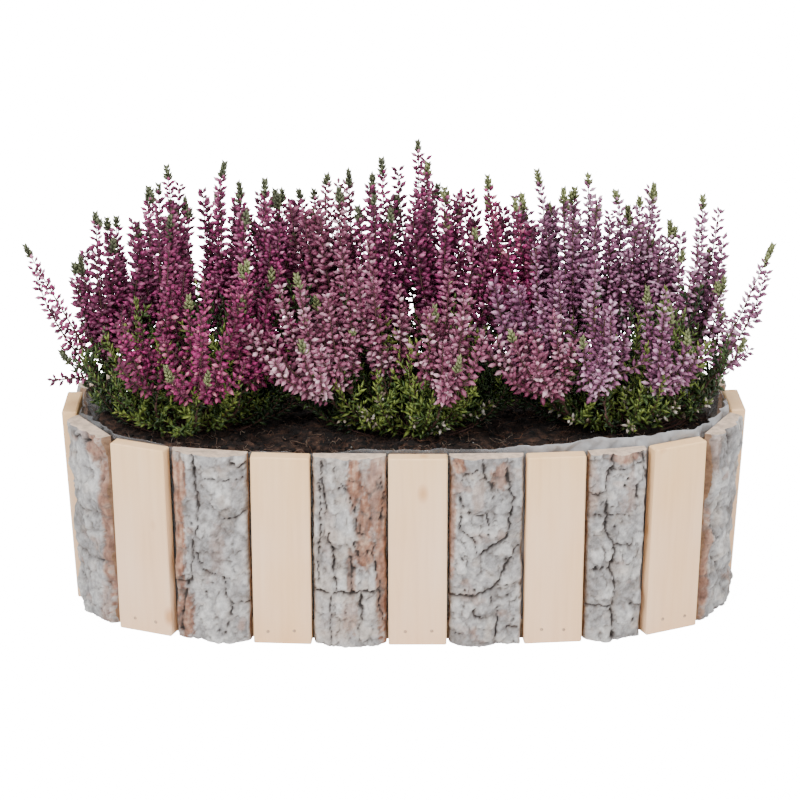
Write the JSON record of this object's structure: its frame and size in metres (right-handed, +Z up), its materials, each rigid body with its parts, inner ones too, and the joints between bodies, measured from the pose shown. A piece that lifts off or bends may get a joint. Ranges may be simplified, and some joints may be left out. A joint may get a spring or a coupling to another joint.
{
  "type": "potted heather planter",
  "caption": "Oval planter of alternating planed wood and bark slats with a film liner and peat, planted with a row of bud-blooming heathers in magenta, mauve and lilac.",
  "frame": {"origin": "middle of the planter's underside, on the base board", "axes": "+X along the planter's length, towards the lilac plant; +Z up; +Y from the viewer's side to the back"},
  "size_m": [0.432, 0.1817, 0.273],
  "materials": {
    "wood": "planed, unfinished, matte",
    "bark": "rough grey bark, matte",
    "board": "plain board, matte",
    "film": "translucent grey film",
    "soil": "dark peat, matte",
    "leaf": "scale leaves and stems, satin",
    "magenta": "buds, satin",
    "mauve": "buds, satin",
    "lilac": "buds, satin"
  },
  "bodies": {
    "root": {"wood_slat_01": "wood", "wood_slat_02": "wood", "wood_slat_03": "wood", "wood_slat_04": "wood", "wood_slat_05": "wood", "wood_slat_06": "wood", "wood_slat_07": "wood", "wood_slat_08": "wood", "wood_slat_09": "wood", "wood_slat_10": "wood", "wood_slat_11": "wood", "wood_slat_12": "wood", "bark_slat_01": "bark", "bark_slat_02": "bark", "bark_slat_03": "bark", "bark_slat_04": "bark", "bark_slat_05": "bark", "bark_slat_06": "bark", "bark_slat_07": "bark", "bark_slat_08": "bark", "bark_slat_09": "bark", "bark_slat_10": "bark", "bark_slat_11": "bark", "bark_slat_12": "bark", "base_board": "board", "film_liner": "film", "soil": "soil", "left_greenery": "leaf", "left_far_arch": "magenta", "left_outer": "magenta", "left_back_outer": "magenta", "left_centre": "magenta", "left_back": "magenta", "left_tall": "magenta", "left_inner": "magenta", "left_front_outer": "magenta", "left_front": "magenta", "left_front_inner": "magenta", "middle_greenery": "leaf", "middle_back_left": "magenta", "middle_left": "mauve", "middle_centre": "magenta", "middle_tallest": "magenta", "middle_right": "magenta", "middle_front_left": "mauve", "middle_front": "mauve", "middle_front_low": "mauve", "middle_front_right": "mauve", "right_greenery": "leaf", "right_inner": "mauve", "right_back_inner": "lilac", "right_centre": "lilac", "right_tall": "lilac", "right_back": "lilac", "right_outer": "lilac", "right_far_arch": "lilac", "right_front_inner": "lilac", "right_front": "mauve", "right_front_low": "lilac", "right_front_outer": "lilac"}
  },
  "joints": []
}
